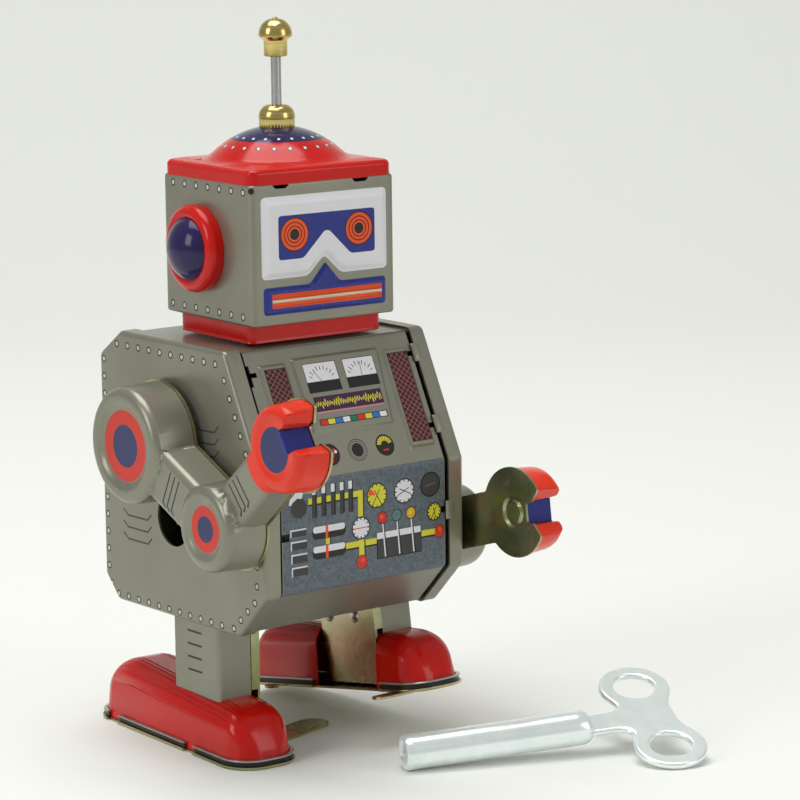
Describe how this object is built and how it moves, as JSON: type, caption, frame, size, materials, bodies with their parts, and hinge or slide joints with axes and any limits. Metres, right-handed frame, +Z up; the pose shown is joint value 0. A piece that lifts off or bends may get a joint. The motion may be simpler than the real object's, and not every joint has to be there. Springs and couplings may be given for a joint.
{
  "type": "wind-up tin robot toy",
  "caption": "Walking tin robot toy with printed panels, swinging claw arms, rocking feet on a crank, a spring motor and a loose winding key.",
  "frame": {"origin": "on the floor under the head's axis, on the lower face of the right sole's balance tongue", "axes": "+Z up, the robot faces -Y, its left side is +X"},
  "size_m": [0.0873, 0.1044, 0.1363],
  "materials": {
    "tin_grey": "satin printed tinplate",
    "tin_front": "satin printed tinplate with printed panels",
    "enamel_red": "glossy enamel",
    "ink_blue": "glossy printed tinplate",
    "plated": "yellow zinc plating",
    "brass": "polished",
    "steel": "bright",
    "spring_steel": "blued",
    "key_zinc": "bright zinc plating"
  },
  "bodies": {
    "torso": {"right_side_panel": "tin_grey", "left_side_panel": "tin_grey", "front_panel": "tin_front", "top_panel": "tin_grey", "back_panel": "tin_grey", "bottom_plate": "tin_grey", "head_shell": "tin_grey", "neck_collar": "enamel_red", "head_cap": "enamel_red", "right_ear_ring": "enamel_red", "left_ear_ring": "enamel_red", "right_ear_dome": "ink_blue", "left_ear_dome": "ink_blue", "antenna_base": "brass", "antenna_rod": "steel", "antenna_finial": "brass", "right_motor_plate": "plated", "left_motor_plate": "plated", "frame_pillars": "steel", "right_guide_bush": "brass", "left_guide_bush": "brass", "mainspring": "spring_steel"},
    "winder": {"winding_arbor": "steel", "ratchet_wheel": "steel"},
    "great": {"great_wheel": "brass", "click_spring": "spring_steel"},
    "second": {"second_arbor": "steel", "second_pinion": "brass", "second_wheel": "brass"},
    "governor": {"governor_shaft": "steel", "governor_pinion": "brass", "governor_fly": "steel"},
    "crank": {"crankshaft": "steel", "crank_pinion": "brass", "right_crank_disc": "steel", "left_crank_disc": "steel"},
    "right_bush": {"right_crank_bush": "brass"},
    "left_bush": {"left_crank_bush": "brass"},
    "right_leg": {"right_leg_plate": "plated", "right_leg_shell": "tin_grey", "right_leg_rivets": "steel", "right_foot_shell": "enamel_red", "right_sole_plate": "plated"},
    "left_leg": {"left_leg_plate": "plated", "left_leg_shell": "tin_grey", "left_leg_rivets": "steel", "left_foot_shell": "enamel_red", "left_sole_plate": "plated"},
    "right_arm": {"right_arm_shell": "tin_grey", "right_arm_plate": "plated", "right_shoulder_axle": "steel", "right_arm_lever": "steel"},
    "left_arm": {"left_arm_shell": "tin_grey", "left_arm_plate": "plated", "left_shoulder_axle": "steel", "left_arm_lever": "steel"},
    "key": {"key_shank": "key_zinc", "key_bow": "key_zinc"}
  },
  "joints": [
    {"name": "crank_turn", "type": "hinge", "parent": "torso", "child": "crank", "pos_m": [0, -0.004, 0.0325], "axis": [1, 0, 0], "continuous": true, "deforming": ["click_spring"]},
    {"name": "second_turn", "type": "hinge", "parent": "torso", "child": "second", "pos_m": [0, -0.01114, 0.0395], "axis": [1, 0, 0], "continuous": true},
    {"name": "great_turn", "type": "hinge", "parent": "torso", "child": "great", "pos_m": [0, 0.0032, 0.0439], "axis": [1, 0, 0], "continuous": true},
    {"name": "governor_turn", "type": "hinge", "parent": "torso", "child": "governor", "pos_m": [0, -0.01074, 0.04899], "axis": [1, 0, 0], "continuous": true},
    {"name": "winding", "type": "hinge", "parent": "torso", "child": "winder", "pos_m": [0, 0.0032, 0.0439], "axis": [1, 0, 0], "range_deg": [0, 1800], "deforming": ["mainspring", "click_spring"]},
    {"name": "right_bush_turn", "type": "hinge", "parent": "crank", "child": "right_bush", "pos_m": [0, -0.00308, 0.02881], "axis": [1, 0, 0], "continuous": true},
    {"name": "left_bush_turn", "type": "hinge", "parent": "crank", "child": "left_bush", "pos_m": [0, -0.00492, 0.03619], "axis": [1, 0, 0], "continuous": true},
    {"name": "right_leg_rock", "type": "hinge", "parent": "right_bush", "child": "right_leg", "pos_m": [0, -0.00308, 0.02881], "axis": [1, 0, 0], "range_deg": [-8.7, 0]},
    {"name": "left_leg_rock", "type": "hinge", "parent": "left_bush", "child": "left_leg", "pos_m": [0, -0.00492, 0.03619], "axis": [1, 0, 0], "range_deg": [0, 8.7]},
    {"name": "right_arm_swing", "type": "hinge", "parent": "torso", "child": "right_arm", "pos_m": [0, 0.0041, 0.0589], "axis": [1, 0, 0], "range_deg": [-2, 27]},
    {"name": "left_arm_swing", "type": "hinge", "parent": "torso", "child": "left_arm", "pos_m": [0, 0.0041, 0.0589], "axis": [1, 0, 0], "range_deg": [-27, 2]},
    {"name": "key_lift", "type": "slide", "parent": "torso", "child": "key", "axis": [0, 0, 1], "range_m": [0, 0.03]}
  ],
  "couplings": [
    {"joint": "second_turn", "follows": "crank_turn", "ratio": -0.33333},
    {"joint": "great_turn", "follows": "crank_turn", "ratio": 0.10526},
    {"joint": "governor_turn", "follows": "crank_turn", "ratio": 1.25},
    {"joint": "right_bush_turn", "follows": "crank_turn", "ratio": -1},
    {"joint": "left_bush_turn", "follows": "crank_turn", "ratio": -1},
    {"joint": "left_leg_rock", "follows": "right_leg_rock", "ratio": -1},
    {"joint": "left_arm_swing", "follows": "right_arm_swing", "ratio": -1}
  ]
}
